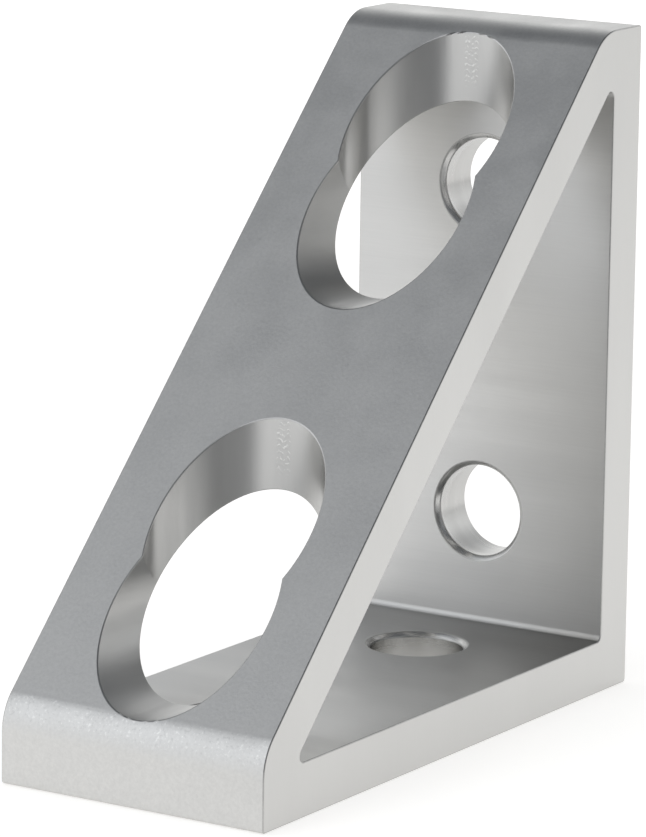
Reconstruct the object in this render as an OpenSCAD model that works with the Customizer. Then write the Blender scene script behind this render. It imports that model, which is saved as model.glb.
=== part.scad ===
// Corner bracket for slotted framing profile: a hollow three-sided section cut to width,
// with two plain walls that bolt to the profile and a sloping wall that braces them.
// The outer corner line is the Y axis at mid width. One leg runs along +X and the other
// along +Z, and every hole and opening is drilled square to one of the two legs.

/* [Profile] */
// Side of the square profile that the bracket is made for
profile_side = 25.4; // [25:0.1:30]
// Profile sides that each leg covers, with one bolt on each
leg_sides = 2; // [1:1:4]

/* [Bracket] */
// Width of the bracket, the length it is cut from the section
bracket_w = 22.2; // [16:0.1:30]
// Flat left at the end of each leg, where the sharp tip of the section is left off
end_flat = 5.4; // [4.5:0.1:7]
// Thickness of the two walls that lie against the profile
mount_wall = 4; // [3:0.1:5]
// Thickness of the sloping wall, square to its face
slope_wall = 3.75; // [2.5:0.05:4.5]

/* [Corners] */
// Radius that rounds the sloping face into each end flat
slope_r = 4; // [1:0.1:6]
// Radius of the three small outer corners
edge_r = 0.25; // [0.1:0.05:1]
// Radius of the three corners of the hollow
hollow_r = 0.5; // [0.2:0.05:1.5]

/* [Holes] */
// Diameter of the bolt holes
bolt_d = 7.1; // [5:0.1:9]
// Width of the chamfer round the inner mouth of each bolt hole
bolt_chamfer = 0.35; // [0.1:0.05:1]
// Diameter of the bores through the sloping wall, which pass a bolt head and its driver
access_d = 13; // [11:0.1:13.5]
// Height above the mounting wall at which an access bore stops
access_stop = 1; // [0.2:0.1:2]

/* [Hidden] */
$fn = 96;
// The cutters run this far past the faces they open
past = 1;
leg_l = leg_sides * profile_side;
// A point of the sloping face has x + z equal to slope_sum, and one of the hollow's hollow_sum
slope_sum = leg_l + end_flat;
hollow_sum = slope_sum - slope_wall * sqrt(2);
hollow_end = hollow_sum - mount_wall;
outer_corners = [[0, 0], [leg_l, 0], [leg_l, end_flat], [end_flat, leg_l], [0, leg_l]];
outer_radii = [edge_r, edge_r, slope_r, slope_r, edge_r];
hollow_corners = [[mount_wall, mount_wall], [hollow_end, mount_wall], [mount_wall, hollow_end]];
hollow_radii = [hollow_r, hollow_r, hollow_r];
// One bolt hole sits over the slot in the middle of each profile side
hole_places = [for (i = [0 : leg_sides - 1]) (i + 0.5) * profile_side];

function unit(v) = v / norm(v);
// Direction from a corner to the corner that lies step places further round
function along(pts, i, step) = unit(pts[(i + step + len(pts)) % len(pts)] - pts[i]);
// Half of the angle inside the outline at a corner
function half_angle(pts, i) = acos(along(pts, i, -1) * along(pts, i, 1)) / 2;
// Where the arc at a corner meets the side that runs step places round
function arc_end(pts, i, step, r) = pts[i] + along(pts, i, step) * r / tan(half_angle(pts, i));
// Centre of that arc, on the line that halves the corner
function arc_centre(pts, i, r) =
    pts[i] + unit(along(pts, i, -1) + along(pts, i, 1)) * r / sin(half_angle(pts, i));

// A convex outline with a true arc at every corner: the corners are cut straight across
// between the ends of their arcs, and each cut then gets its round back
module rounded_outline(pts, radii) {
    polygon([for (i = [0 : len(pts) - 1], step = [-1, 1]) arc_end(pts, i, step, radii[i])]);
    for (i = [0 : len(pts) - 1])
        intersection() {
            translate(arc_centre(pts, i, radii[i])) circle(r = radii[i]);
            polygon([arc_end(pts, i, -1, radii[i]), pts[i], arc_end(pts, i, 1, radii[i])]);
        }
}

// Stands an outline drawn in x and z up, and gives it a width along y
module across(width) {
    rotate([90, 0, 0]) linear_extrude(width, center = true) children();
}

// The section as it leaves the press, cut to the bracket's width
module section_length() {
    difference() {
        across(bracket_w) rounded_outline(outer_corners, outer_radii);
        across(bracket_w + 2 * past) rounded_outline(hollow_corners, hollow_radii);
    }
}

// One bolt position in the base wall: the bolt hole with its chamfer, and above it the
// bore through the sloping wall, on the same axis
module drilled_down() {
    translate([0, 0, -past]) cylinder(d = bolt_d, h = mount_wall + 2 * past);
    translate([0, 0, mount_wall - bolt_chamfer])
        cylinder(r1 = bolt_d / 2, r2 = bolt_d / 2 + bolt_chamfer + past, h = bolt_chamfer + past);
    translate([0, 0, mount_wall + access_stop]) cylinder(d = access_d, h = leg_l);
}

// The same drilling in the back wall, which mirrors the base wall across the slope
module drilled_level() {
    rotate([0, 90, 0]) drilled_down();
}

// Each opening in the sloping wall is one upright bore and one level bore that overlap.
// Their ovals on the slope sit side by side, which leaves a small point between two lobes.
module bracket() {
    color([0.74, 0.75, 0.76])
    difference() {
        section_length();
        for (place = hole_places) {
            translate([place, 0, 0]) drilled_down();
            translate([0, 0, place]) drilled_level();
        }
    }
}

bracket();
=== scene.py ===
# %% [markdown]
# Corner bracket for slotted framing profile
#
# The bracket is one length of hollow three-sided aluminium section. It is sawn off at both
# ends and drilled square to each leg, and the sloping wall has two lobed openings that let
# a bolt head and its driver through. There is no moving piece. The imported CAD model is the
# frame: it fixes every size, and this lesson dresses it so that the metal looks right.

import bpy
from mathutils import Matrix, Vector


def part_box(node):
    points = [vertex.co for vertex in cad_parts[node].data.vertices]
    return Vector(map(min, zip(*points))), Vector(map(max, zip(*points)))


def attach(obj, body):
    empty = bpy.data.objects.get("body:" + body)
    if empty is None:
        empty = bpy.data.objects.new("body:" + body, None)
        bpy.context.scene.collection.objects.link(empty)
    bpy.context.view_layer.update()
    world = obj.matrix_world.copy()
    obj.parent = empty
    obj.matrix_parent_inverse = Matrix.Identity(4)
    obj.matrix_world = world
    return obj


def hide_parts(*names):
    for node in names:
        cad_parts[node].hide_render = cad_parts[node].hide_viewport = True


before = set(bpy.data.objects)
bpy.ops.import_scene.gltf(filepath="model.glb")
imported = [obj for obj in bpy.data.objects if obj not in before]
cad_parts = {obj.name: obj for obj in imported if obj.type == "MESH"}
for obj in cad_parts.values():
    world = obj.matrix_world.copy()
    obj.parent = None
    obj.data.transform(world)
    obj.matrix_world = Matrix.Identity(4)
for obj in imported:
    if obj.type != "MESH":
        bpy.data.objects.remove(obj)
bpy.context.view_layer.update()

# %% [markdown]
# The camera comes first, because it decides which surfaces need the closest work. The
# photograph was taken from a good way off with a long lens, a little above the bracket and
# round to its open side. The numbers come from matching corners and hole rims of the solid
# to the picture. A camera looks along its own -Z, so its matrix is built from three
# directions: to its right, up, and back towards the photographer.

# %% Camera
import math

import bpy
from mathutils import Matrix, Vector

CAMERA_AZIMUTH = math.radians(122.4417)
CAMERA_ELEVATION = math.radians(11.7038)
CAMERA_ROLL = math.radians(0.7573)
CAMERA_DISTANCE = 0.36625
AIM_POINT = Vector((0.02599, -0.00024, 0.02363))
LENS_MM = 215.95
SENSOR_MM = 36
NEAREST_SEEN = 0.01

back = Vector((
    math.sin(CAMERA_AZIMUTH) * math.cos(CAMERA_ELEVATION),
    -math.cos(CAMERA_AZIMUTH) * math.cos(CAMERA_ELEVATION),
    math.sin(CAMERA_ELEVATION),
))
level_right = Vector((math.cos(CAMERA_AZIMUTH), math.sin(CAMERA_AZIMUTH), 0))
level_up = back.cross(level_right)
right = math.cos(CAMERA_ROLL) * level_right + math.sin(CAMERA_ROLL) * level_up
up = math.cos(CAMERA_ROLL) * level_up - math.sin(CAMERA_ROLL) * level_right

bpy.ops.object.select_all(action="DESELECT")
bpy.ops.object.camera_add()
camera = bpy.context.object
camera.name = "camera"
camera.data.lens = LENS_MM
camera.data.sensor_width = SENSOR_MM
camera.data.clip_start = NEAREST_SEEN
camera.matrix_world = Matrix.Translation(AIM_POINT + CAMERA_DISTANCE * back) @ Matrix(
    (right, up, back)
).transposed().to_4x4()
bpy.context.scene.camera = camera
print("camera at", tuple(round(v, 4) for v in camera.matrix_world.translation))

# %% [markdown]
# The bracket starts as a square block, which is how many extruded sections are easiest to
# build: a plain cube at the right size, with one cut across it for the slope. Bisect in edit
# mode is the saw. Its threshold has to be far below the sizes here, because the default of a
# tenth of a millimetre would pull points of a part this small together. The same function
# makes the outside and the cutter that hollows it, so both follow one set of values. The leg
# and the width are read from the CAD solid's box, so the two models can't differ in size.

# %% The three-sided bar
TINY = 1e-6
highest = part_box("bracket")[1]
LEG = highest.x
HALF_WIDTH = highest.y
END_FLAT = 0.0054
SLOPE_SUM = LEG + END_FLAT


def start_alone():
    """Leaves edit mode and clears the selection, so that a new piece is worked on by itself."""
    if bpy.context.object and bpy.context.object.mode == "EDIT":
        bpy.ops.object.mode_set(mode="OBJECT")
    bpy.ops.object.select_all(action="DESELECT")


def three_sided_bar(name, corner, slope_sum, reach, half_width):
    """A bar along Y: a square corner at x = z = corner, cut off where x + z = slope_sum."""
    start_alone()
    side = reach - corner
    middle = corner + side / 2
    bpy.ops.mesh.primitive_cube_add(
        size=1, location=(middle, 0, middle), scale=(side, 2 * half_width, side)
    )
    bar = bpy.context.object
    bar.name = name
    bpy.ops.object.transform_apply(location=True, rotation=True, scale=True)
    bpy.ops.object.mode_set(mode="EDIT")
    bpy.ops.mesh.select_all(action="SELECT")
    bpy.ops.mesh.bisect(
        plane_co=(slope_sum, 0, 0),
        plane_no=(1, 0, 1),
        use_fill=True,
        clear_outer=True,
        threshold=TINY,
    )
    bpy.ops.object.mode_set(mode="OBJECT")
    return bar


bracket = three_sided_bar("bracket_dressed", 0, SLOPE_SUM, LEG, HALF_WIDTH)
print("block cut to", len(bracket.data.polygons), "faces")

# %% [markdown]
# A press can't make a sharp corner, and nobody wants to hold one, so every corner of the
# section is rounded: 4 mm where the slope turns into each end flat, and a quarter of a
# millimetre at the three outer corners. The bevel operator does this in edit mode. It wants
# the distance from the old edge to the start of the round, which is the radius times the
# tangent of half the angle that the outline turns through there. At a corner that isn't
# square, a bevel comes out as a flattened curve, which shows in the reflections, so its
# points are then moved out to the true circle. The big rounds have 13 steps because the
# openings reach just into them: with 16, a line of points would lie on the rim of an opening.
# MM is the factor that turns metres into millimetres, where those read better.

# %% Round the corners of the section
MM = 1000
SLOPE_R = 0.004
EDGE_R = 0.00025
SAME_PLACE = 0.00001


def select_only(piece):
    """Selects one piece and makes it the active one, so that operators act on it alone."""
    start_alone()
    bpy.context.view_layer.objects.active = piece
    piece.select_set(True)


def select_where(piece, kind, test):
    """In edit mode, selects only the edges or faces whose list of points passes test."""
    select_only(piece)
    bpy.ops.object.mode_set(mode="EDIT")
    bpy.ops.mesh.select_mode(type=kind)
    bpy.ops.mesh.select_all(action="DESELECT")
    bpy.ops.object.mode_set(mode="OBJECT")
    mesh = piece.data
    items = mesh.edges if kind == "EDGE" else mesh.polygons
    count = 0
    for item in items:
        points = [mesh.vertices[i].co for i in item.vertices]
        item.select = test(points)
        count += item.select
    bpy.ops.object.mode_set(mode="EDIT")
    return count


def onto_the_circle(piece, x, z, radius, offset):
    """Moves the points of a fresh bevel at (x, z) onto the circle that touches both faces."""
    corner = Vector((x, 0, z))
    arc = []
    for point in piece.data.vertices:
        from_corner = Vector((point.co.x, 0, point.co.z)) - corner
        if from_corner.length < offset + TINY:
            arc.append((point, from_corner))
    inwards = sum((from_corner for point, from_corner in arc), Vector()).normalized()
    centre = corner + inwards * math.hypot(radius, offset)
    for point, from_corner in arc:
        arm = radius * (corner + from_corner - centre).normalized()
        if from_corner.length < offset - TINY:
            point.co = (centre.x + arm.x, point.co.y, centre.z + arm.z)


def round_along_y(piece, places, radius, turn_deg, segments):
    """Rounds the edges along Y that stand at these (x, z) places of the section."""
    def there(points):
        return any(
            all(abs(point.x - x) < SAME_PLACE and abs(point.z - z) < SAME_PLACE for point in points)
            for x, z in places
        )

    found = select_where(piece, "EDGE", there)
    offset = radius * math.tan(math.radians(turn_deg) / 2)
    bpy.ops.mesh.bevel(offset=offset, segments=segments, profile=0.5, affect="EDGES")
    bpy.ops.object.mode_set(mode="OBJECT")
    for x, z in places:
        onto_the_circle(piece, x, z, radius, offset)
    print(piece.name, "rounded", found, "edges to", radius * MM, "mm")


slope_ends = [(LEG, END_FLAT), (END_FLAT, LEG)]
outer_corners = [(0, 0), (LEG, 0), (0, LEG)]
round_along_y(bracket, slope_ends, SLOPE_R, turn_deg=45, segments=13)
round_along_y(bracket, outer_corners, EDGE_R, turn_deg=90, segments=5)

# %% [markdown]
# The hollow is made as the press makes it, by a mandrel of the same three-sided shape. Here
# the mandrel is a second bar, a little longer than the bracket, that a Boolean modifier takes
# away. It leaves mounting walls of 4 mm and a sloping wall of 3.75 mm, and its own corners
# have the half-millimetre radius of the die.

# %% The mandrel that leaves the hollow
MOUNT_WALL = 0.004
SLOPE_WALL = 0.00375
HOLLOW_R = 0.0005
PAST = 0.001
HOLLOW_SUM = SLOPE_SUM - SLOPE_WALL * math.sqrt(2)
HOLLOW_END = HOLLOW_SUM - MOUNT_WALL

mandrel = three_sided_bar("mandrel", MOUNT_WALL, HOLLOW_SUM, HOLLOW_END + PAST, HALF_WIDTH + PAST)
narrow_corners = [(HOLLOW_END, MOUNT_WALL), (MOUNT_WALL, HOLLOW_END)]
square_corner = [(MOUNT_WALL, MOUNT_WALL)]
round_along_y(mandrel, narrow_corners, HOLLOW_R, turn_deg=135, segments=16)
round_along_y(mandrel, square_corner, HOLLOW_R, turn_deg=90, segments=6)

# %% [markdown]
# One drilling makes a bolt hole, its small chamfer and the wide bore above it, all on one
# axis. The wide part stops a millimetre short of the mounting wall, so it never marks it. It
# is modelled as a stepped drill: a circle is extruded upwards step by step, and scaled
# wherever the drill gets wider. The four drillings are copies of this one drill. Two stand
# upright over the base leg and two lie level over the back leg, and where an upright bore and
# a level bore leave the sloping wall side by side, they run together into one opening with
# two lobes.

# %% The stepped drill
ROUND_SIDES = 96
BOLT_R = 0.00355
BOLT_CHAMFER = 0.00035
ACCESS_R = 0.0065
ACCESS_STOP = 0.001
ACCESS_FROM = MOUNT_WALL + ACCESS_STOP
DRILL_STEPS = [
    (MOUNT_WALL - BOLT_CHAMFER, BOLT_R),
    (MOUNT_WALL + PAST, BOLT_R + BOLT_CHAMFER + PAST),
    (ACCESS_FROM, ACCESS_R),
    (LEG + PAST, ACCESS_R),
]


def stepped_drill(name):
    """An upright drill on the Z axis, from below the base wall to above the bracket."""
    start_alone()
    bpy.ops.mesh.primitive_circle_add(
        vertices=ROUND_SIDES, radius=BOLT_R, fill_type="NGON", location=(0, 0, -PAST)
    )
    drill = bpy.context.object
    drill.name = name
    bpy.ops.object.transform_apply(location=True, rotation=True, scale=True)
    bpy.ops.object.mode_set(mode="EDIT")
    bpy.ops.mesh.select_mode(type="FACE")
    bpy.ops.mesh.select_all(action="SELECT")
    height = -PAST
    radius = BOLT_R
    for next_height, next_radius in DRILL_STEPS:
        bpy.ops.mesh.extrude_region_move(
            TRANSFORM_OT_translate={"value": (0, 0, next_height - height)}
        )
        wider = next_radius / radius
        if wider != 1:
            bpy.ops.transform.resize(
                value=(wider, wider, 1), center_override=(0, 0, next_height)
            )
        height = next_height
        radius = next_radius
    bpy.ops.mesh.select_all(action="SELECT")
    bpy.ops.mesh.normals_make_consistent(inside=False)
    bpy.ops.object.mode_set(mode="OBJECT")
    return drill


drill = stepped_drill("upright_drill")
print("drill", tuple(round(v * MM, 2) for v in drill.dimensions), "mm")

# %% [markdown]
# A face keeps the finish of the tool that cut it. The bracket, the mandrel and the drills all
# carry the same list of material slots in the same order, and each tool's faces are given
# its own slot before it cuts. The Boolean then hands that slot on to the surface it leaves.
# The finishes themselves are built further down, so here they are only named.

# %% Name the finishes and give each tool its own
FINISHES = [
    "blasted", "sawn", "extruded", "bored_upright", "bored_level",
    "drilled_upright", "drilled_level", "broken_edge", "burred",
]
material_of = {name: bpy.data.materials.new("aluminium_" + name) for name in FINISHES}


def give_slots(piece):
    """Gives a piece one material slot for each finish."""
    for name in FINISHES:
        piece.data.materials.append(material_of[name])


def give_finish(piece, name, test=None):
    """Gives a finish to the faces whose list of points passes test, or to every face."""
    count = select_where(piece, "FACE", test or (lambda points: True))
    piece.active_material_index = FINISHES.index(name)
    bpy.ops.object.material_slot_assign()
    bpy.ops.object.mode_set(mode="OBJECT")
    return count


for piece in (bracket, mandrel, drill):
    give_slots(piece)
give_finish(bracket, "blasted")
give_finish(mandrel, "extruded")
near_end = give_finish(bracket, "sawn", lambda points: min(p.y for p in points) > HALF_WIDTH - TINY)
far_end = give_finish(bracket, "sawn", lambda points: max(p.y for p in points) < TINY - HALF_WIDTH)
print("sawn faces at the two ends:", near_end, far_end)

# %% [markdown]
# The upright drill is copied to both places over the base leg. The level drills are the same
# tool, tipped over by 90 degrees so that up becomes out along X. Each copy has its own mesh,
# and its turn and place are applied to that mesh before it cuts.

# %% Drill the bracket
HOLE_PLACES = [LEG / 4, 3 * LEG / 4]
UPRIGHT = (0, 0, 0)
TIPPED_OVER = (0, math.pi / 2, 0)


def drill_copy(name, turned, place, bolt_finish, bore_finish):
    """A copy of the drill, turned and placed, with a finish for its narrow and wide parts."""
    select_only(drill)
    bpy.ops.object.duplicate(linked=False)
    tool = bpy.context.object
    tool.name = name
    give_finish(tool, bolt_finish)
    give_finish(tool, bore_finish, lambda points: min(p.z for p in points) > ACCESS_FROM - TINY)
    tool.rotation_euler = turned
    tool.location = place
    bpy.ops.object.transform_apply(location=True, rotation=True, scale=True)
    return tool


def cut(piece, tool):
    """Takes the tool's shape away from the piece, and puts the tool away."""
    select_only(piece)
    cutting = piece.modifiers.new("cut", "BOOLEAN")
    cutting.operation = "DIFFERENCE"
    cutting.solver = "EXACT"
    cutting.object = tool
    bpy.ops.object.modifier_apply(modifier=cutting.name)
    bpy.data.objects.remove(tool)


cut(bracket, mandrel)
for number, place in enumerate(HOLE_PLACES):
    name = f"upright_{number}"
    cut(bracket, drill_copy(name, UPRIGHT, (place, 0, 0), "drilled_upright", "bored_upright"))
    name = f"level_{number}"
    cut(bracket, drill_copy(name, TIPPED_OVER, (0, 0, place), "drilled_level", "bored_level"))
bpy.data.objects.remove(drill)
print("drilled bracket:", len(bracket.data.polygons), "faces")

# %% [markdown]
# A Boolean can leave doubled points and needless edges behind. Points closer than two
# thousandths of a millimetre are merged, and edges between faces that lie in one plane are
# dissolved, but never across the border of two finishes.

# %% Clean up after the cuts
MERGE_WITHIN = 2e-6
ONE_PLANE = math.radians(0.05)

select_only(bracket)
bpy.ops.object.mode_set(mode="EDIT")
bpy.ops.mesh.select_mode(type="VERT")
bpy.ops.mesh.select_all(action="SELECT")
bpy.ops.mesh.remove_doubles(threshold=MERGE_WITHIN)
bpy.ops.mesh.dissolve_limited(angle_limit=ONE_PLANE, delimit={"MATERIAL"})
bpy.ops.object.mode_set(mode="OBJECT")
print("cleaned bracket:", len(bracket.data.polygons), "faces", len(bracket.data.vertices), "points")

# %% [markdown]
# No real metal edge is perfectly sharp. After sawing and drilling, every edge is broken by
# about a tenth of a millimetre, and that narrow band is what catches the light or goes dark
# in the picture. A Bevel modifier makes it, on the edges that carry a bevel weight: those
# where the surface turns by more than 24 degrees, which no step of a round does. The two
# drillings of an opening meet in an edge that nobody reaches with a tool, so it stays sharp.

# %% Break the edges
EDGE_BREAK = 0.00009
BREAK_FROM_DEG = 24
BORES = {FINISHES.index("bored_upright"), FINISHES.index("bored_level")}

mesh = bracket.data
faces_of = {}
for face in mesh.polygons:
    for key in face.edge_keys:
        faces_of.setdefault(key, []).append(face)
weights = mesh.attributes.new("bevel_weight_edge", "FLOAT", "EDGE")
broken = 0
sharp = 0
for edge in mesh.edges:
    pair = faces_of[edge.key]
    if len(pair) != 2:
        raise RuntimeError(f"an edge has {len(pair)} faces")
    finishes = {face.material_index for face in pair}
    turn = math.degrees(pair[0].normal.angle(pair[1].normal))
    if finishes == BORES:
        edge.use_edge_sharp = True
        sharp += 1
    elif turn > BREAK_FROM_DEG:
        weights.data[edge.index].value = 1
        broken += 1
breaking = bracket.modifiers.new("broken edges", "BEVEL")
breaking.limit_method = "WEIGHT"
breaking.width = EDGE_BREAK
breaking.segments = 2
breaking.use_clamp_overlap = False
breaking.material = FINISHES.index("broken_edge")
bpy.ops.object.modifier_apply(modifier=breaking.name)
print(broken, "edges broken,", sharp, "left sharp;", len(mesh.polygons), "faces")

# %% [markdown]
# Smooth shading bends the light across neighbouring faces. On its own it would also tilt the
# big flat faces near their borders, so a Weighted Normal modifier counts each face by its
# size. Flats then stay flat, and only the rounds and the broken edges turn. Its weight stays
# at the default of 50: at 100 the larger of two strips of a round would win outright, and
# the round would show a crease.

# %% Shade the metal
select_only(bracket)
bpy.ops.object.shade_smooth()
weighting = bracket.modifiers.new("flat faces stay flat", "WEIGHTED_NORMAL")
weighting.weight = 50
weighting.keep_sharp = True
bpy.ops.object.modifier_apply(modifier=weighting.name)
print("smooth faces:", sum(face.use_smooth for face in mesh.polygons))

# %% [markdown]
# Where the sloping face meets the cut face, the saw left a thin burr, a little ragged, and its
# dark shadow is painted into the colour of the narrow faces along it.
# The narrow faces there get a finish of their own. They are found by place: they lie within
# the width of the broken edge from the cut, on the outline of the slope and of the part of
# each round that leads into it.

# %% The burred edges
ROUND_DROP = 0.0012


def on_burred_edge(points):
    """True for the narrow faces between the cut and the slope or its rounds."""
    at_the_cut = all(abs(p.y) > HALF_WIDTH - EDGE_BREAK - TINY for p in points)
    return at_the_cut and all(p.x + p.z > SLOPE_SUM - ROUND_DROP for p in points)


# These faces carry the painted shadow and painted highlight of the burr.
burred = 0
for face in mesh.polygons:
    is_narrow = face.material_index == FINISHES.index("broken_edge")
    if is_narrow and on_burred_edge([mesh.vertices[i].co for i in face.vertices]):
        face.material_index = FINISHES.index("burred")
        burred += 1
print("burred faces:", burred)

# %% [markdown]
# Metal that was drawn or drilled shines unevenly: its fine lines scatter light across them
# and hardly at all along them. The shader needs to know which way across is at every point,
# and a UV map can say so. This one isn't for a picture. It is in millimetres, with U across
# the marks of each finish and V along them. In a bore, the wall is unrolled like a label off
# a tin: U is the height along the axis and V the way round, from the side nearest the corner.
# A face of a drilling whose normal leans along the axis is a step and not a wall, so it is
# laid flat as all other faces are. A cut face looks along Y itself, so U runs along X there.

# %% A map of the way the marks run
ALONG_Y = Vector((0, 1, 0))
CUT_FACE_SINE = 0.1
BORE_STEP_COSINE = 0.9


def bore_frame(finish, middle):
    """A drilled face's axis, a point on it, and where V starts. None for any other face."""
    if finish in ("bored_upright", "drilled_upright"):
        place = min(HOLE_PLACES, key=lambda x: abs(x - middle.x))
        return Vector((0, 0, 1)), Vector((place, 0, 0)), Vector((-1, 0, 0))
    if finish in ("bored_level", "drilled_level"):
        place = min(HOLE_PLACES, key=lambda z: abs(z - middle.z))
        return Vector((1, 0, 0)), Vector((0, 0, place)), Vector((0, 0, -1))
    return None


def unroll(points, middle, axis, centre, start):
    """Height along the axis and way round it, in millimetres, for each point of a face."""
    side = axis.cross(start)
    out = middle - centre
    radius = (out - out.dot(axis) * axis).length
    middle_turn = math.atan2(out.dot(side), out.dot(start))
    unrolled = []
    for point in points:
        arm = point - centre
        turn = math.atan2(arm.dot(side), arm.dot(start))
        turn = middle_turn + math.remainder(turn - middle_turn, 2 * math.pi)
        unrolled.append((arm.dot(axis) * MM, turn * radius * MM))
    return unrolled


def lay_flat(points, normal):
    """Way across the marks and along them, in millimetres, for each point of a flat face."""
    across = ALONG_Y.cross(normal)
    if across.length < CUT_FACE_SINE:
        across = Vector((1, 0, 0))
    across = (across - across.dot(normal) * normal).normalized()
    sideways = normal.cross(across)
    return [(point.dot(across) * MM, point.dot(sideways) * MM) for point in points]


marks_map = mesh.uv_layers.new(name="marks")
for face in mesh.polygons:
    points = [mesh.vertices[i].co for i in face.vertices]
    frame_of_bore = bore_frame(FINISHES[face.material_index], face.center)
    if frame_of_bore and abs(frame_of_bore[0].dot(face.normal)) < BORE_STEP_COSINE:
        places = unroll(points, face.center, *frame_of_bore)
    else:
        places = lay_flat(points, face.normal)
    for corner, place in zip(face.loop_indices, places):
        marks_map.data[corner].uv = place
print("marks mapped on", len(mesh.polygons), "faces")

# %% [markdown]
# Every finish below is made of nodes. Most of a finish is one thing at three sizes: fine marks
# that can just be seen, broader clouds, and now and then a speck. They come from one node
# group, built once, with a size in millimetres for each, so that a finish is described in
# the units of the real part. First come a few helpers that keep the node cells short. Many
# values change softly from one to another, and a named pair of numbers further down is where
# such a ramp starts and ends.

# %% Helpers for node trees
def add_node(tree, kind, inputs=None, **settings):
    """Adds a node. inputs feeds its sockets with numbers or with other nodes' outputs."""
    made = tree.nodes.new(kind)
    made.location = (180 * len(tree.nodes), 0)
    for name, value in settings.items():
        setattr(made, name, value)
    for name, value in (inputs or {}).items():
        socket = made.inputs[name]
        if isinstance(value, bpy.types.NodeSocket):
            tree.links.new(value, socket)
        else:
            socket.default_value = value
    return made


def math_node(tree, operation, a, b=0.0, c=0.0):
    """One sum on numbers or outputs, and its result."""
    made = add_node(tree, "ShaderNodeMath", {0: a, 1: b, 2: c}, operation=operation)
    return made.outputs[0]


def mix_colours(tree, factor, a, b):
    """A colour from a to b, as factor goes from 0 to 1."""
    made = add_node(tree, "ShaderNodeMix", {0: factor, 6: a, 7: b}, data_type="RGBA")
    return made.outputs[2]


def ramp(tree, value, start, end, low_value=0.0, high_value=1.0):
    """A value that goes softly from low_value to high_value between start and end."""
    made = add_node(
        tree,
        "ShaderNodeMapRange",
        {0: value, 1: start, 2: end, 3: low_value, 4: high_value},
        interpolation_type="SMOOTHSTEP",
    )
    return made.outputs[0]


def along(tree, vector, other):
    """The dot product: how far one vector reaches along another."""
    made = add_node(tree, "ShaderNodeVectorMath", {0: vector, 1: other}, operation="DOT_PRODUCT")
    return made.outputs["Value"]


def new_group(name, inputs, outputs):
    """An empty shader node group with named sockets: (group, its input node, its output node)."""
    group = bpy.data.node_groups.new(name, "ShaderNodeTree")
    for socket, kind, value in inputs:
        made = group.interface.new_socket(socket, in_out="INPUT", socket_type=kind)
        if value is not None:
            made.default_value = value
    for socket in outputs:
        group.interface.new_socket(socket, in_out="OUTPUT", socket_type="NodeSocketFloat")
    return group, group.nodes.new("NodeGroupInput"), group.nodes.new("NodeGroupOutput")


# %% [markdown]
# The grain group is the texture that all the finishes share. It takes a place in metres and
# three sizes, and gives three values from 0 to 1: fine noise, broad noise, and specks. The
# specks are the middles of scattered cells, and a random number for each cell leaves most of
# them out, so that what is left looks like chance and not like a pattern.

# %% The grain group
FINE_MM = 0.15
BROAD_MM = 6.0
SPECK_MM = 1.2
SPECK_CHANCE = (0.85, 1.0)
SPECK_RIM = (0.06, 0.16)

grain, taken, given = new_group(
    "metal_grain",
    [
        ("Vector", "NodeSocketVector", None),
        ("Fine mm", "NodeSocketFloat", FINE_MM),
        ("Broad mm", "NodeSocketFloat", BROAD_MM),
        ("Speck mm", "NodeSocketFloat", SPECK_MM),
    ],
    ["Fine", "Broad", "Speck"],
)
place = taken.outputs["Vector"]
for size, detail, roughness in (("Fine", 2.0, 0.6), ("Broad", 3.0, 0.55)):
    scale = math_node(grain, "DIVIDE", MM, taken.outputs[size + " mm"])
    noise = add_node(
        grain, "ShaderNodeTexNoise",
        {"Vector": place, "Scale": scale, "Detail": detail, "Roughness": roughness},
    )
    grain.links.new(noise.outputs[0], given.inputs[size])
scale = math_node(grain, "DIVIDE", MM, taken.outputs["Speck mm"])
cells = add_node(
    grain, "ShaderNodeTexVoronoi", {"Vector": place, "Scale": scale, "Randomness": 1.0},
)
chance = add_node(grain, "ShaderNodeSeparateColor", {0: cells.outputs["Color"]}).outputs[0]
speck_kept = ramp(grain, chance, *SPECK_CHANCE)
speck_spot = ramp(grain, cells.outputs["Distance"], *SPECK_RIM, 1.0, 0.0)
grain.links.new(math_node(grain, "MULTIPLY", speck_spot, speck_kept), given.inputs["Speck"])
print("grain group:", len(grain.nodes), "nodes")

# %% [markdown]
# Each finish is bare aluminium, so its shader is a metal with one plain grey, and what tells
# the finishes apart is how rough they are and how their marks run. The marks are stretched by
# a Mapping node: a small scale on one axis draws them out into lines along that axis. Inside
# the bores the pattern reads the unrolled map, and everywhere else the place on the object.
# A finish works with a level: 0.5 is the plain tone, and 0 and 1 are half and one and a half
# times as bright, so that clouds, lines and specks simply add up.

# %% A function that builds one finish
TONE = (0.690, 0.686, 0.672)
CLOUD_NOISE = (0.3, 0.7)


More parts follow.
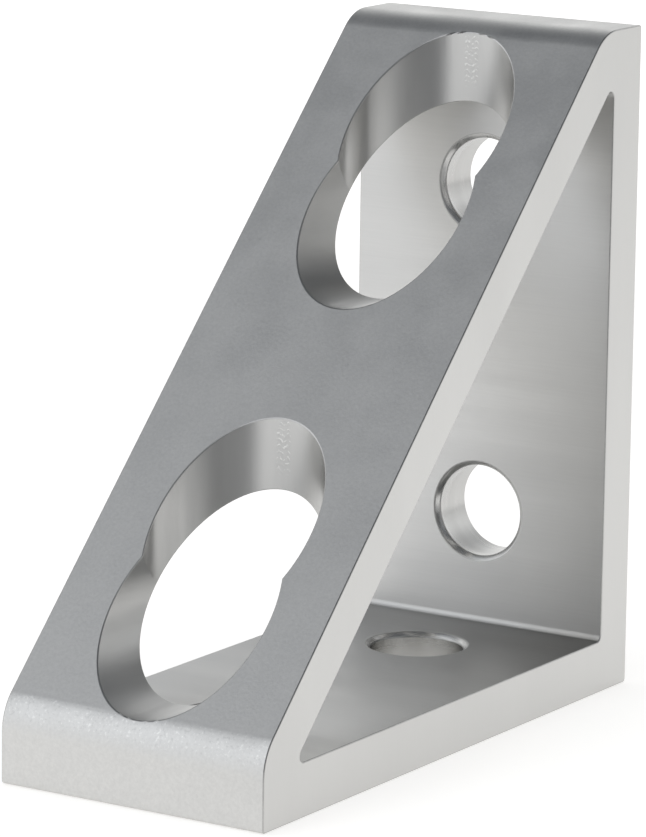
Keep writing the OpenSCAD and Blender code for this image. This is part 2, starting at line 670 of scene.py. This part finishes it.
def aluminium(name, stretch, unrolled=False, fine_mm=FINE_MM, broad_mm=BROAD_MM, speck_mm=SPECK_MM,
              shade=0.04, cloud=0.03, speck_shade=0.0, rough=0.40, rough_swing=0.04,
              depth=0.000004, uneven=0.0, darker=1.0, graze=1.0):
    """Builds a finish in its material. Returns its tree and the node that mixes its colour."""
    material = material_of[name]
    material.use_nodes = True
    tree = material.node_tree
    shader = tree.nodes["Principled BSDF"]
    shader.inputs["Metallic"].default_value = 1.0
    shader.inputs["Specular Tint"].default_value = (graze, graze, graze, 1.0)
    if unrolled:
        where = add_node(tree, "ShaderNodeUVMap", uv_map="marks").outputs["UV"]
        stretch = tuple(scale / MM for scale in stretch)
    else:
        where = add_node(tree, "ShaderNodeTexCoord").outputs["Object"]
    lined = add_node(tree, "ShaderNodeMapping", {"Vector": where, "Scale": stretch})
    marks = add_node(tree, "ShaderNodeGroup", node_tree=grain)
    tree.links.new(lined.outputs[0], marks.inputs["Vector"])
    marks.inputs["Fine mm"].default_value = fine_mm
    marks.inputs["Broad mm"].default_value = broad_mm
    marks.inputs["Speck mm"].default_value = speck_mm
    fine_part = math_node(tree, "MULTIPLY_ADD", marks.outputs["Fine"], shade, -shade / 2)
    cloud_part = math_node(tree, "MULTIPLY_ADD", marks.outputs["Broad"], cloud, fine_part)
    speck_part = math_node(tree, "MULTIPLY_ADD", marks.outputs["Speck"], -speck_shade, cloud_part)
    level = math_node(tree, "ADD", speck_part, 0.5 - cloud / 2)
    half = tuple(0.5 * darker * c for c in TONE) + (1.0,)
    full = tuple(1.5 * darker * c for c in TONE) + (1.0,)
    colour = mix_colours(tree, level, half, full)
    tree.links.new(colour, shader.inputs["Base Color"])
    smoothest = rough - rough_swing
    roughest = rough + rough_swing
    roughness = ramp(tree, marks.outputs["Broad"], *CLOUD_NOISE, smoothest, roughest)
    tree.links.new(roughness, shader.inputs["Roughness"])
    if uneven:
        across = add_node(tree, "ShaderNodeTangent", direction_type="UV_MAP", uv_map="marks")
        tree.links.new(across.outputs[0], shader.inputs["Tangent"])
        shader.inputs["Anisotropic"].default_value = uneven
    bump = add_node(tree, "ShaderNodeBump", {"Height": marks.outputs["Fine"], "Distance": depth})
    tree.links.new(bump.outputs[0], shader.inputs["Normal"])
    print("finish", name, "roughness", rough, "tone", darker)
    return tree, colour.node


def add_to_level(tree, colour_mix, change):
    """Adds one more change to the level of a finish."""
    before = colour_mix.inputs[0].links[0].from_socket
    tree.links.new(math_node(tree, "ADD", before, change), colour_mix.inputs[0])


# %% [markdown]
# The outside was blasted, or tumbled with small stones. Both leave a dull grey with a fine
# speckle, a few shallow pits, and no direction to speak of. On the flat slope the grain is
# faint. Where the slope turns into the toe, the dimples catch the light one by one, and that
# is painted into the colour: the stretch gets painted glints and painted shade as bright and
# dark flecks. The normal finds it: its Z is 0.7 on the slope and 0 on the toe.

# %% Blasted
UPWARDS = (0, 0, 1)
FLECK_MM = 0.24
BRIGHT_NOISE = (0.60, 0.68)
PAINTED_GLINT = 0.16
DARK_NOISE = (0.32, 0.42)
PAINTED_FLECK_SHADE = 0.10
OFF_THE_TOE = (0.1, 0.4)
ONTO_THE_SLOPE = (0.66, 0.71)

tree, colour_mix = aluminium(
    "blasted", (1, 1, 1), fine_mm=0.26, broad_mm=4.0, speck_mm=1.4,
    shade=0.20, cloud=0.05, speck_shade=0.10, rough=0.42, depth=0.000006,
)
places = add_node(tree, "ShaderNodeTexCoord")
fleck_noise = add_node(
    tree, "ShaderNodeTexNoise",
    {"Vector": places.outputs["Object"], "Scale": MM / FLECK_MM, "Detail": 2.0},
)
# Painted glints and painted shade: bright and dark flecks added to the colour where the slope turns
# into the toe.
painted_glints = ramp(tree, fleck_noise.outputs[0], *BRIGHT_NOISE, 0.0, PAINTED_GLINT)
painted_fleck_shadows = ramp(tree, fleck_noise.outputs[0], *DARK_NOISE, PAINTED_FLECK_SHADE, 0.0)
painted_flecks = math_node(tree, "SUBTRACT", painted_glints, painted_fleck_shadows)
steepness = along(tree, places.outputs["Normal"], UPWARDS)
past_toe = ramp(tree, steepness, *OFF_THE_TOE)
before_slope = ramp(tree, steepness, *ONTO_THE_SLOPE, 1.0, 0.0)
turning = math_node(tree, "MULTIPLY", past_toe, before_slope)
add_to_level(tree, colour_mix, math_node(tree, "MULTIPLY", painted_flecks, turning))

# %% [markdown]
# The two cut faces come from a fine saw and a deburring wheel, so they are smooth and nearly
# even. The hollow is as the press left it, with fine die lines along its length. It shines
# along those lines, and its skin reflects weakly at a low angle, which a grey Specular Tint
# gives: on a metal that socket sets the colour of the reflection at the edge of view. In the
# photo the inside of the base leg is darker towards its near corner than the mirrored room
# alone would make it, and lighter towards the toe, so shade and light are painted into its
# tone there: darker towards the corner and lighter towards the toe.

# %% Sawn and extruded
# Where the painted shade on the inside of the base leg falls, and how dark and light it goes.
LEVEL_FACE = (0.80, 0.95)
PAINTED_SHADE_DIRECTION = (1, -0.6, 0)
PAINTED_SHADE_REACH = (-0.002, 0.034)
DARKEST_PAINTED_SHADE = -0.5
LIGHTEST_PAINTED_LIGHT = 0.25

aluminium(
    "sawn", (1, 1, 0.15), fine_mm=0.2, shade=0.02, cloud=0.03, rough=0.34, depth=0.000001,
)
tree, colour_mix = aluminium(
    "extruded", (1, 0.02, 1), fine_mm=0.16, broad_mm=3.0, shade=0.07, cloud=0.05,
    rough=0.42, uneven=0.8, graze=0.5,
)
# Painted shade and light: the upward inside of the base leg is darkened towards its near corner and
# lightened towards the toe.
places = add_node(tree, "ShaderNodeTexCoord")
facing_up = ramp(tree, along(tree, places.outputs["Normal"], UPWARDS), *LEVEL_FACE)
from_corner = along(tree, places.outputs["Object"], PAINTED_SHADE_DIRECTION)
painted_shade_slant = ramp(tree, from_corner, *PAINTED_SHADE_REACH, DARKEST_PAINTED_SHADE, LIGHTEST_PAINTED_LIGHT)
add_to_level(tree, colour_mix, math_node(tree, "MULTIPLY", facing_up, painted_shade_slant))

# %% [markdown]
# The wide bores were cut by a boring tool, which leaves lines round the wall. They spread the
# light along the axis, so the wall shows soft bright and dark bands that run down it. On the
# unrolled map the clouds are drawn out along U, the height, which makes the bands uneven as
# on the real part. The bolt holes are drilled in the same way with a smaller tool.

# %% Bored and drilled
for name, rough, uneven in (("bored_upright", 0.37, 0.82), ("bored_level", 0.38, 0.7)):
    aluminium(
        name, (0.12, 1, 1), unrolled=True, fine_mm=0.35, broad_mm=1.6, shade=0.04, cloud=0.10,
        rough=rough, depth=0.000002, uneven=uneven, darker=0.88,
    )
for name in ("drilled_upright", "drilled_level"):
    aluminium(
        name, (1, 0.08, 1), unrolled=True, fine_mm=0.2, broad_mm=1.5, shade=0.06, cloud=0.06,
        rough=0.28, uneven=0.8, darker=0.95,
    )

# %% [markdown]
# Where the boring tool met the slope it chattered, and left a narrow strip of tiny slanted
# cuts. They lie in two or three columns that slant in turn, like a herringbone. On the
# unrolled map that is a wave along U whose phase folds to and fro with V, and a shift by five
# columns puts one fold on the middle line. A little noise bends the cuts.

# %% The slanted cuts
CUT_MM = 0.43
COLUMN_MM = 0.40
FOLD_SHIFT = 5 * COLUMN_MM
SLANT = 0.6
SWAY = 0.5
SWAY_SCALE = 2.2
CUT_WAVE = (0.1, 0.95)
BETWEEN_CUTS = -0.15

tree = material_of["bored_upright"].node_tree
unrolled_place = add_node(tree, "ShaderNodeUVMap", uv_map="marks").outputs["UV"]
split = add_node(tree, "ShaderNodeSeparateXYZ", {0: unrolled_place})
stray = add_node(
    tree, "ShaderNodeTexNoise", {"Vector": unrolled_place, "Scale": SWAY_SCALE, "Detail": 1.0},
)
sway = math_node(tree, "MULTIPLY_ADD", stray.outputs[0], SWAY, split.outputs["X"])
shifted = math_node(tree, "ADD", split.outputs["Y"], FOLD_SHIFT)
fold = math_node(tree, "PINGPONG", shifted, COLUMN_MM)
slanted = math_node(tree, "MULTIPLY_ADD", fold, SLANT, sway)
run = math_node(tree, "DIVIDE", slanted, CUT_MM / (2 * math.pi))
cuts = ramp(tree, math_node(tree, "SINE", run), *CUT_WAVE, BETWEEN_CUTS, 1.0)
print("cuts", CUT_MM, "mm apart in columns", COLUMN_MM, "mm wide")

# %% [markdown]
# The strip is a little over a millimetre wide, on the side of the bore nearest the corner, and
# ends a few millimetres down from the rim. The sum of X and Z tells how far down a point is,
# because that sum is the same all over the slope. More noise leaves some cuts out. The strip
# changes the tone, and a second bump node lays the cuts over the fine grain.

# %% The strip of chatter marks
STRIP_MM = 0.62
STRIP_RIM = (STRIP_MM - 0.12, STRIP_MM + 0.05)
STRIP_DEPTH = 0.0032
STRIP_FADE = 0.0012
STRIP_END = SLOPE_SUM - STRIP_DEPTH
GAP_SCALE = 3.5
GAP_NOISE = (0.42, 0.60)
CUT_SHADE = 0.32
CUT_DEPTH = 0.00001

from_middle = math_node(tree, "ABSOLUTE", split.outputs["Y"])
strip = ramp(tree, from_middle, *STRIP_RIM, 1.0, 0.0)
place = add_node(tree, "ShaderNodeTexCoord").outputs["Object"]
depth_fade = ramp(tree, along(tree, place, (1, 0, 1)), STRIP_END - STRIP_FADE, STRIP_END)
gaps = add_node(
    tree, "ShaderNodeTexNoise", {"Vector": unrolled_place, "Scale": GAP_SCALE, "Detail": 1.0},
)
kept = math_node(tree, "MULTIPLY", depth_fade, ramp(tree, gaps.outputs[0], *GAP_NOISE))
chatter = math_node(tree, "MULTIPLY", math_node(tree, "MULTIPLY", strip, kept), cuts)
shader = tree.nodes["Principled BSDF"]
colour_mix = shader.inputs["Base Color"].links[0].from_node
add_to_level(tree, colour_mix, math_node(tree, "MULTIPLY", chatter, CUT_SHADE))
fine_bump = shader.inputs["Normal"].links[0].from_node
cut_bump = add_node(
    tree, "ShaderNodeBump",
    {"Height": chatter, "Distance": CUT_DEPTH, "Normal": fine_bump.outputs[0]},
)
tree.links.new(cut_bump.outputs[0], shader.inputs["Normal"])
print("chatter strip", 2 * STRIP_MM, "mm wide,", STRIP_DEPTH * MM, "mm deep")

# %% [markdown]
# The broken edges are a little brighter and darker by turns, where a burr was rubbed off. The
# burr along the slope has its shadow painted into the colour as a darker, more ragged line, and
# the side of it that faces the cut has a hair of painted highlight beside the dark line. The
# normal tells the two sides apart.

# %% Edges
PAINTED_GLINT_SIDE = (0.78, 0.90)

aluminium("broken_edge", (1, 1, 1), fine_mm=0.25, shade=0.20, rough=0.40, darker=0.78)
# Painted shadow of the burr along the slope, and a painted highlight on its side towards the cut.
tree, colour_mix = aluminium(
    "burred", (1, 1, 1), fine_mm=0.35, broad_mm=1.5, shade=0.5, cloud=0.3, rough=0.45, darker=0.55,
)
facing = add_node(tree, "ShaderNodeTexCoord").outputs["Normal"]
towards_cut = math_node(tree, "ABSOLUTE", along(tree, facing, ALONG_Y))
add_to_level(tree, colour_mix, ramp(tree, towards_cut, *PAINTED_GLINT_SIDE))
print("finishes:", len(FINISHES))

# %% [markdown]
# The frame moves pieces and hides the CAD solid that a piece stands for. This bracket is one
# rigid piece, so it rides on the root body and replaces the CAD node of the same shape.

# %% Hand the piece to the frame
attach(bracket, "root")
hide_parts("bracket")
print(bracket.name, "has", len(mesh.polygons), "faces and", len(mesh.materials), "finishes")

# %% [markdown]
# Bare metal has no colour of its own to speak of: it shows what stands round it, blurred. So
# the stage is worked out from what the bracket mirrors. The sloping face mirrors the room high
# up behind it, the cut face mirrors what stands on the right, and the hollow, the toe and the
# top flat mirror the wall and the floor behind. Each is given its own plain brightness, and
# everything is placed by direction: azimuth round the bracket, and height above the horizon.

# %% Directions
def direction_to(azimuth_deg, height_deg):
    """The unit direction at this azimuth and this height above the horizon."""
    azimuth = math.radians(azimuth_deg)
    height = math.radians(height_deg)
    return Vector((
        math.cos(azimuth) * math.cos(height),
        math.sin(azimuth) * math.cos(height),
        math.sin(height),
    ))


# %% [markdown]
# The floor is a sheet of white paper that runs far past the picture. It lies a twentieth of a
# millimetre below the bracket, or the two would share a plane and show through each other.

# %% Floor
PAPER_RADIUS = 4
PAPER_DROP = 0.00005

start_alone()
bpy.ops.mesh.primitive_circle_add(
    vertices=64, radius=PAPER_RADIUS, fill_type="NGON", location=(0, 0, -PAPER_DROP)
)
floor = bpy.context.object
floor.name = "floor"
bpy.ops.object.transform_apply(location=True, rotation=True, scale=True)
print("floor", tuple(round(v, 2) for v in floor.dimensions), "m")

# %% [markdown]
# Diffuse paint alone would come out grey unless strong lamps burned it, and those would burn
# the metal too. So the paper has two shares. Under it all is ordinary paint, lit by the lamp,
# which keeps the bracket's soft shadow. Over that lies a glow which only camera, glossy and
# transmission rays see. It makes the sheet read white in the picture, and rises to full white
# away from the lamp, or the far end would show as a grey horizon. In the metal's reflections
# it fades out in front on the right, where the photographer stood in a dark room. The bores
# owe their dark bands to that side, and without them they would look like paper tubes.

# %% Paper
PAPER_GREY = 0.5
GLOW_COLOUR = (1.0, 0.99, 0.97, 1.0)
PAPER_ROUGHNESS = 0.9
PAPER_GLOW = 0.65
GLOW_RISE = (0.12, 0.60)
MIRRORED_GLOW = 0.57
DARK_SIDE = direction_to(46, 0)
DARK_SPREAD = (0.60, 0.85)
DARK_REACH = (0.03, 0.06)

paper = bpy.data.materials.new("paper")
paper.use_nodes = True
tree = paper.node_tree
shader = tree.nodes["Principled BSDF"]
shader.inputs["Base Color"].default_value = (PAPER_GREY, PAPER_GREY, PAPER_GREY, 1.0)
shader.inputs["Roughness"].default_value = PAPER_ROUGHNESS
shader.inputs["Specular IOR Level"].default_value = 0.0
where = add_node(tree, "ShaderNodeTexCoord")
from_middle = add_node(
    tree, "ShaderNodeVectorMath",
    {0: where.outputs["Object"], 1: (AIM_POINT.x, 0, 0)}, operation="SUBTRACT",
)
reach = along(tree, from_middle.outputs[0], DARK_SIDE)
squared = along(tree, from_middle.outputs[0], from_middle.outputs[0])
distance = math_node(tree, "SQRT", squared)
on_dark_side = ramp(tree, math_node(tree, "DIVIDE", reach, distance), *DARK_SPREAD)
far_enough = ramp(tree, distance, *DARK_REACH)
dark = math_node(tree, "MULTIPLY", on_dark_side, far_enough)
mirrored = math_node(tree, "MULTIPLY_ADD", dark, -MIRRORED_GLOW, MIRRORED_GLOW)
rays = add_node(tree, "ShaderNodeLightPath")
seen = math_node(tree, "MAXIMUM", rays.outputs["Is Glossy Ray"], rays.outputs["Is Transmission Ray"])
seen_glow = math_node(tree, "MULTIPLY", seen, mirrored)
shown_glow = ramp(tree, distance, *GLOW_RISE, PAPER_GLOW, 1.0)
glow = math_node(tree, "MULTIPLY_ADD", rays.outputs["Is Camera Ray"], shown_glow, seen_glow)
shader.inputs["Emission Color"].default_value = GLOW_COLOUR
tree.links.new(glow, shader.inputs["Emission Strength"])
floor.data.materials.append(paper)
print("paper built from", len(tree.nodes), "nodes")

# %% [markdown]
# The world is the room, and four soft lights fill it. The wall stands all round but for the
# dark side. A second light hangs low behind, which the top flat mirrors. The ceiling is dim,
# which is what turns the sloping face grey. The last is a large soft box beyond the toe, with
# a soft rim, so that the slope brightens gently on its way into the toe. A light's spread says
# how far the viewing direction has to lean its way: 1 is straight at it, 0 is square to it and
# -1 is straight away. Z of that direction is the sine of its height, so ramps on Z end the
# wall and the low light upwards.

# %% Four lights of the room
WALL_LIGHT = 0.477
WALL_TOWARDS = direction_to(-174, 0)
WALL_SPREAD = (-0.78, -0.2)
WALL_TOP = (0.40, 0.75)
BEHIND_LIGHT = 0.66
BEHIND_TOWARDS = direction_to(-160, 10)
BEHIND_SPREAD = (0.2, 0.9)
BEHIND_TOP = (0.30, 0.80)
CEILING_LIGHT = 0.12
CEILING_RISE = (-0.1, 0.6)
BOX_LIGHT = 0.93
BOX_TOWARDS = direction_to(-35, 17.5)
BOX_SPREAD = (0.63, 0.87)

world = bpy.data.worlds.new("studio")
bpy.context.scene.world = world
world.use_nodes = True
tree = world.node_tree
look = add_node(tree, "ShaderNodeTexCoord").outputs["Generated"]
height = along(tree, look, UPWARDS)
facing = ramp(tree, along(tree, look, WALL_TOWARDS), *WALL_SPREAD, 0.0, WALL_LIGHT)
wall = math_node(tree, "MULTIPLY", facing, ramp(tree, height, *WALL_TOP, 1.0, 0.0))
rear = ramp(tree, along(tree, look, BEHIND_TOWARDS), *BEHIND_SPREAD, 0.0, BEHIND_LIGHT)
behind = math_node(tree, "MULTIPLY", rear, ramp(tree, height, *BEHIND_TOP, 1.0, 0.0))
ceiling = ramp(tree, height, *CEILING_RISE, 0.0, CEILING_LIGHT)
soft_box = ramp(tree, along(tree, look, BOX_TOWARDS), *BOX_SPREAD, 0.0, BOX_LIGHT)
print("wall", WALL_LIGHT, "behind", BEHIND_LIGHT, "ceiling", CEILING_LIGHT, "box", BOX_LIGHT)

# %% [markdown]
# Each light has a faint tint: the wall, the ceiling and the box are a little cool, and the
# light behind is a little warm. The tinted lights are added up and given to the background.
# The camera sees plain white instead.

# %% World
WALL_COLOUR = (0.985, 1.0, 1.01)
BEHIND_COLOUR = (1.0, 0.99, 0.97)
CEILING_COLOUR = (0.93, 1.0, 1.10)
BOX_COLOUR = (0.98, 1.0, 1.03)
WHITE = (1.0, 1.0, 1.0, 1.0)


def tinted(tree, colour, strength):
    """A colour times a strength that a node gives."""
    made = add_node(tree, "ShaderNodeVectorMath", {0: colour, "Scale": strength}, operation="SCALE")
    return made.outputs[0]


room = tinted(tree, WALL_COLOUR, wall)
for colour, light in ((BEHIND_COLOUR, behind), (CEILING_COLOUR, ceiling), (BOX_COLOUR, soft_box)):
    share = tinted(tree, colour, light)
    room = add_node(tree, "ShaderNodeVectorMath", {0: room, 1: share}, operation="ADD").outputs[0]
rays = add_node(tree, "ShaderNodeLightPath")
shown = mix_colours(tree, rays.outputs["Is Camera Ray"], room, WHITE)
background = tree.nodes["Background"]
background.inputs["Strength"].default_value = 1.0
tree.links.new(shown, background.inputs["Color"])
print("room built from", len(tree.nodes), "nodes")

# %% [markdown]
# One lamp hangs almost straight overhead. It is wide and not strong: it brings the paper and
# anything dull up to a plain level, and throws the soft shadow. Its power is worked out from
# the brightness that its disc should show, which is its power over pi times its area. It is
# hidden from glossy rays, or the metal would mirror it as a bright spot.

# %% Lamp
LAMP_DISTANCE = 0.8
LAMP_RADIUS = 0.40
LAMP_BRIGHTNESS = 2.4

overhead = direction_to(60, 86)
start_alone()
bpy.ops.object.light_add(type="AREA", location=AIM_POINT + LAMP_DISTANCE * overhead)
lamp = bpy.context.object
lamp.name = "top_light"
lamp.rotation_euler = overhead.to_track_quat("Z", "Y").to_euler()
lamp.data.shape = "DISK"
lamp.data.size = 2 * LAMP_RADIUS
lamp.data.energy = LAMP_BRIGHTNESS * math.pi * math.pi * LAMP_RADIUS**2
lamp.visible_camera = False
lamp.visible_glossy = False
print(lamp.name, round(lamp.data.energy, 2), "W")

# %% [markdown]
# The Standard view shows each colour as it was worked out. The default view would grey the
# whites and soften the contrast, as a film does, and the picture could no longer be compared
# with the photo.

# %% Colour management
bpy.context.scene.view_settings.view_transform = "Standard"
print("view:", bpy.context.scene.view_settings.view_transform)
